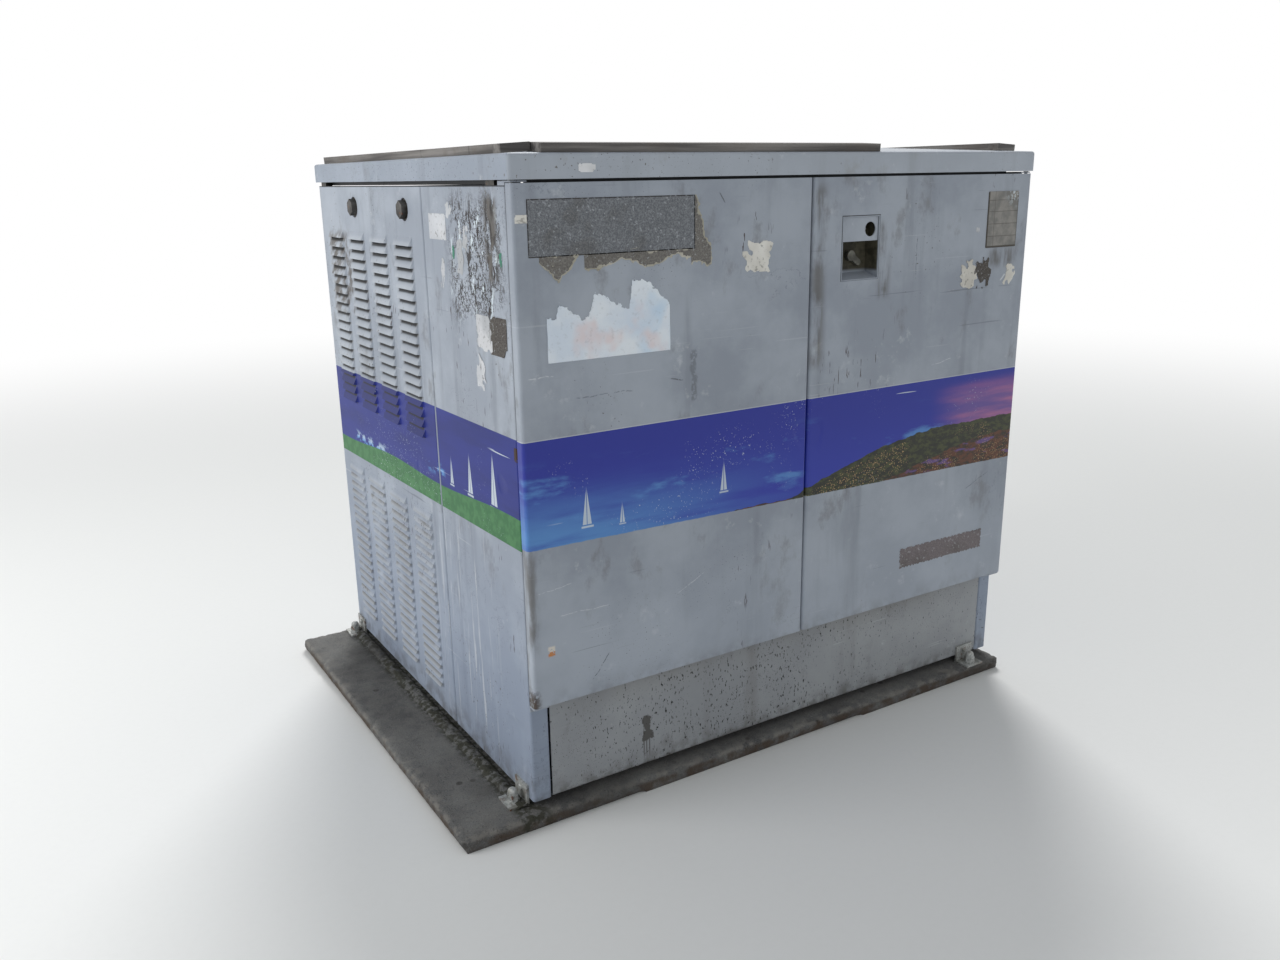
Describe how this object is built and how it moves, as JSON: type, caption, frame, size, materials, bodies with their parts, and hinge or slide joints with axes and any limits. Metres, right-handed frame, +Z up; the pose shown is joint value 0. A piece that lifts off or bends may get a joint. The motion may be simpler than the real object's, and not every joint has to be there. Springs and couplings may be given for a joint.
{
  "type": "roadside utility cabinet",
  "caption": "Ground-mounted transformer cabinet: painted sheet-steel housing with two hinged doors, louvred sides, a low hipped roof and a concrete plinth.",
  "frame": {"origin": "on the ground under the middle of the housing's footprint", "axes": "+X to the right along the door side, doors face -Y, +Z up"},
  "size_m": [1.632, 1.253, 1.441],
  "materials": {
    "painted_housing": "weathered satin blue-grey paint over sheet steel",
    "painted_roof": "weathered satin grey paint, dusty on top",
    "concrete": "rough grey-brown cast concrete",
    "galvanised": "dull galvanised steel",
    "rubber": "matt black rubber",
    "weathered_wood": "weathered unpainted board",
    "dark_steel": "dull oiled steel",
    "plate": "faded matt plate with nothing on it",
    "tank_paint": "satin grey paint",
    "insulator": "matt brown cast resin",
    "copper": "dull copper",
    "barrier": "matt tan insulating board",
    "winding": "lacquered core and windings",
    "gauge": "matt black case"
  },
  "bodies": {
    "cabinet": {"anchor_bolts": "galvanised", "anchor_brackets": "galvanised", "barrier_plate": "barrier", "base_frame": "dark_steel", "bulkhead": "painted_housing", "centre_post": "painted_housing", "concrete_plinth": "concrete", "core_and_coils": "winding", "door_gasket": "rubber", "drain_valve": "dark_steel", "ground_bar": "copper", "hinge_pins": "galvanised", "hv_bushings": "insulator", "left_front_panel": "painted_housing", "left_louvred_panel": "painted_housing", "left_radiator": "tank_paint", "lid_bolts": "dark_steel", "lifting_bolts": "galvanised", "lifting_rails": "dark_steel", "lower_front_panel": "painted_housing", "lower_hinge_brackets": "painted_housing", "lv_bushings": "insulator", "lv_terminals": "copper", "oil_level_gauge": "gauge", "panel_screws": "galvanised", "rear_panel": "painted_housing", "relief_valve": "dark_steel", "right_front_panel": "painted_housing", "right_louvred_panel": "painted_housing", "right_radiator": "tank_paint", "roof_board_front": "weathered_wood", "roof_board_left_front": "weathered_wood", "roof_board_left_middle": "weathered_wood", "roof_board_left_rear": "weathered_wood", "roof_board_right": "weathered_wood", "roof_cover": "painted_roof", "roof_spacers": "dark_steel", "tank": "tank_paint", "tank_lid": "tank_paint", "thermometer": "gauge", "upper_front_rail": "painted_housing", "upper_hinge_brackets": "painted_housing"},
    "left_door": {"left_door": "painted_housing", "left_door_stiffeners": "painted_housing", "slide_guides": "dark_steel"},
    "left_top_bolt": {"left_top_bolt": "dark_steel"},
    "left_bottom_bolt": {"left_bottom_bolt": "dark_steel"},
    "right_door": {"right_door": "painted_housing", "right_door_stiffeners": "painted_housing", "lock_pocket": "painted_housing", "lock_cover_plate": "painted_housing", "locking_bolt": "galvanised", "rod_guides": "dark_steel", "number_plate": "plate"},
    "latch": {"latch_handle": "galvanised", "latch_cam": "dark_steel"},
    "upper_rod": {"upper_rod": "dark_steel"},
    "lower_rod": {"lower_rod": "dark_steel"},
    "switch_handle": {"switch_handle": "gauge"}
  },
  "joints": [
    {"name": "left_door_hinge", "type": "hinge", "parent": "cabinet", "child": "left_door", "pos_m": [-0.716, -0.617, 0.824], "axis": [0, 0, -1], "range_deg": [0, 120]},
    {"name": "right_door_hinge", "type": "hinge", "parent": "cabinet", "child": "right_door", "pos_m": [0.716, -0.617, 0.824], "axis": [0, 0, 1], "range_deg": [0, 120]},
    {"name": "latch_turn", "type": "hinge", "parent": "right_door", "child": "latch", "pos_m": [0.15, -0.583, 1.182], "axis": [0, 1, 0], "range_deg": [0, 90]},
    {"name": "upper_rod_slide", "type": "slide", "parent": "right_door", "child": "upper_rod", "axis": [0, 0, 1], "range_m": [0, 0.018]},
    {"name": "lower_rod_slide", "type": "slide", "parent": "right_door", "child": "lower_rod", "axis": [0, 0, -1], "range_m": [0, 0.018]},
    {"name": "left_top_bolt_slide", "type": "slide", "parent": "left_door", "child": "left_top_bolt", "axis": [0, 0, 1], "range_m": [0, 0.018]},
    {"name": "left_bottom_bolt_slide", "type": "slide", "parent": "left_door", "child": "left_bottom_bolt", "axis": [0, 0, -1], "range_m": [0, 0.018]},
    {"name": "switch_handle_turn", "type": "hinge", "parent": "cabinet", "child": "switch_handle", "pos_m": [-0.34, -0.197, 0.52], "axis": [0, 1, 0], "range_deg": [0, 90]}
  ],
  "couplings": [
    {"joint": "upper_rod_slide", "follows": "latch_turn", "m_per_rad": 0.011459},
    {"joint": "lower_rod_slide", "follows": "latch_turn", "m_per_rad": 0.011459}
  ]
}
